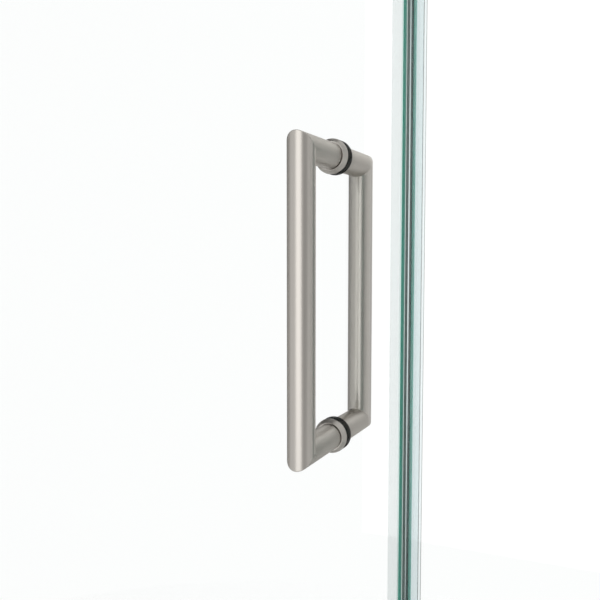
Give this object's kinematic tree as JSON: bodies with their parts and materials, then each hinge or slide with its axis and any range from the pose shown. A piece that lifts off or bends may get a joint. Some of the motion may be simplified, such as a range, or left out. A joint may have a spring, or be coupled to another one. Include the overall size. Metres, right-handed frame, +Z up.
{
  "type": "hinged shower door",
  "caption": "Frameless glass shower door that swings both ways on wall hinges beside a fixed glass panel, with back-to-back mitred tube handles and clear edge seals.",
  "frame": {"origin": "middle of the doorway's width and of the glass thickness, on the curb", "axes": "+X from the hinge wall to the wall of the fixed panel, +Y from the outside into the shower, +Z up"},
  "size_m": [1.0396, 0.137, 1.829],
  "materials": {
    "clear_glass": "clear tempered, polished edges",
    "clear_vinyl": "clear extruded vinyl",
    "brushed_nickel": "satin brushed nickel",
    "nickel_aluminium": "anodised to match the handle",
    "stainless": "plain",
    "spring_steel": "tempered",
    "nylon": "natural",
    "black_rubber": "matt",
    "grey_rubber": "matt"
  },
  "bodies": {
    "fixed_side": {"fixed_glass": "clear_glass", "fixed_edge_channel": "clear_vinyl", "wall_channel": "nickel_aluminium", "bottom_channel": "nickel_aluminium", "wall_glazing_strips": "grey_rubber", "bottom_glazing_strips": "grey_rubber", "setting_blocks": "black_rubber", "upper_hinge_wall_bracket": "brushed_nickel", "upper_hinge_pin": "stainless", "upper_hinge_pin_set_screw": "stainless", "upper_hinge_thrust_washers": "nylon", "lower_hinge_wall_bracket": "brushed_nickel", "lower_hinge_pin": "stainless", "lower_hinge_pin_set_screw": "stainless", "lower_hinge_thrust_washers": "nylon"},
    "door_leaf": {"door_glass": "clear_glass", "door_strike_seal": "clear_vinyl", "hinge_edge_seals": "clear_vinyl", "door_bottom_sweep": "clear_vinyl", "outer_handle": "brushed_nickel", "outer_handle_inserts": "stainless", "outer_handle_grub_screws": "stainless", "outer_handle_collars": "brushed_nickel", "outer_handle_gaskets": "black_rubber", "handle_hole_sleeves": "nylon", "handle_screws": "stainless", "inner_handle": "brushed_nickel", "inner_handle_plugs": "stainless", "inner_handle_gaskets": "black_rubber", "upper_hinge_bushes": "nylon", "upper_hinge_centring_springs": "spring_steel", "upper_hinge_outer_plate": "brushed_nickel", "upper_hinge_inner_plate": "brushed_nickel", "upper_hinge_gaskets": "black_rubber", "upper_hinge_clamp_screws": "stainless", "lower_hinge_bushes": "nylon", "lower_hinge_centring_springs": "spring_steel", "lower_hinge_outer_plate": "brushed_nickel", "lower_hinge_inner_plate": "brushed_nickel", "lower_hinge_gaskets": "black_rubber", "lower_hinge_clamp_screws": "stainless"}
  },
  "joints": [
    {"name": "door_swing", "type": "hinge", "parent": "fixed_side", "child": "door_leaf", "pos_m": [-0.49678, 0, 0], "axis": [0, 0, -1], "range_deg": [-90, 90], "deforming": ["upper_hinge_centring_springs", "lower_hinge_centring_springs"]}
  ]
}
